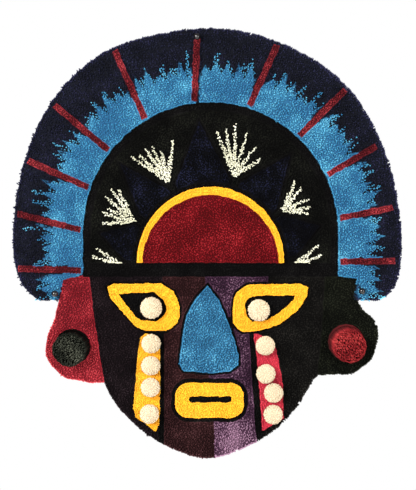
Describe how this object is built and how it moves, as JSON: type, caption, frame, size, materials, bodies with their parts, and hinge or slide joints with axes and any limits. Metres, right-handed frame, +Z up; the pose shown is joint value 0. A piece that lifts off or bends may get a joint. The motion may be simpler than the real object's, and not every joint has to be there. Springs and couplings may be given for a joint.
{
  "type": "tufted mask wall hanging",
  "caption": "Hand-tufted wool wall mask with a rayed feather headdress, half-sun crown, pompom eyes and tears, standing ear discs and ball-headed wall nails.",
  "frame": {"origin": "middle of the back, on the wall plane; the felt's back face lies in y = 0", "axes": "+Z up, -Y out of the wall towards the viewer, +X to the viewer's right"},
  "size_m": [0.7764, 0.074, 0.8596],
  "materials": {
    "aubergine_pile": "cut wool pile, matte",
    "backing_felt": "pressed felt",
    "black_pile": "cut wool pile, matte",
    "blue_pile": "cut wool pile, strongly speckled tips",
    "cloth_natural": "plain woven cotton and polyester tufting cloth",
    "cream_pompom": "clipped wool pompom, fuzzy",
    "ear_red": "cut wool pile",
    "green_grey_pile": "long cut wool pile",
    "latex": "brushed-on latex glue, satin",
    "maroon_pile": "cut wool pile, matte",
    "nail_dark": "glossy black enamel",
    "navy_pile": "cut wool pile, matte",
    "olive_black_pile": "cut wool pile, matte",
    "pink_pile": "cut wool pile",
    "point_navy": "cut wool pile, matte",
    "purple_pile": "cut wool pile, speckled tips",
    "ray_red": "cut wool pile",
    "sun_red": "cut wool pile",
    "yellow_pile": "dense smooth cut pile, felt-like"
  },
  "bodies": {
    "mask": {"backing_felt": "backing_felt", "ear_disc_left": "green_grey_pile", "ear_disc_right": "sun_red", "hem_fold": "cloth_natural", "latex_layer": "latex", "pile_band_blue": "blue_pile", "pile_cheek_left": "aubergine_pile", "pile_cheek_right": "black_pile", "pile_crown_ground": "olive_black_pile", "pile_ear_left": "ear_red", "pile_ear_right": "olive_black_pile", "pile_eye_ground_left": "black_pile", "pile_eye_ground_right": "black_pile", "pile_eye_ring_left": "yellow_pile", "pile_eye_ring_right": "yellow_pile", "pile_headdress_navy": "navy_pile", "pile_maroon": "maroon_pile", "pile_mouth_ring": "yellow_pile", "pile_mouth_slot": "black_pile", "pile_nose": "blue_pile", "pile_outline_crown": "black_pile", "pile_outline_left_eye": "black_pile", "pile_outline_mouth": "black_pile", "pile_outline_nose_and_right_eye": "black_pile", "pile_point_1": "point_navy", "pile_point_2": "point_navy", "pile_point_3": "point_navy", "pile_point_4": "point_navy", "pile_point_5": "point_navy", "pile_purple_brow": "purple_pile", "pile_purple_chin": "purple_pile", "pile_ray_01": "ray_red", "pile_ray_02": "ray_red", "pile_ray_03": "ray_red", "pile_ray_04": "ray_red", "pile_ray_05": "ray_red", "pile_ray_06": "ray_red", "pile_ray_07": "ray_red", "pile_ray_08": "ray_red", "pile_ray_09": "ray_red", "pile_ray_10": "ray_red", "pile_ray_11": "ray_red", "pile_sun_disc": "sun_red", "pile_sun_rim": "yellow_pile", "pile_tear_left": "yellow_pile", "pile_tear_right": "pink_pile", "pom_pupil_left": "cream_pompom", "pom_pupil_right": "cream_pompom", "pom_tear_left_1": "cream_pompom", "pom_tear_left_2": "cream_pompom", "pom_tear_left_3": "cream_pompom", "pom_tear_left_4": "cream_pompom", "pom_tear_right_1": "cream_pompom", "pom_tear_right_2": "cream_pompom", "pom_tear_right_3": "cream_pompom", "pom_tear_right_4": "cream_pompom", "primary_cloth": "cloth_natural"},
    "nail_left": {"nail_left": "nail_dark"},
    "nail_right": {"nail_right": "nail_dark"},
    "nail_top": {"nail_top": "nail_dark"}
  },
  "joints": [
    {"name": "nail_left_pull", "type": "slide", "parent": "mask", "child": "nail_left", "axis": [0, -1, 0], "range_m": [0, 0.06]},
    {"name": "nail_right_pull", "type": "slide", "parent": "mask", "child": "nail_right", "axis": [0, -1, 0], "range_m": [0, 0.06]},
    {"name": "nail_top_pull", "type": "slide", "parent": "mask", "child": "nail_top", "axis": [0, -1, 0], "range_m": [0, 0.06]}
  ]
}
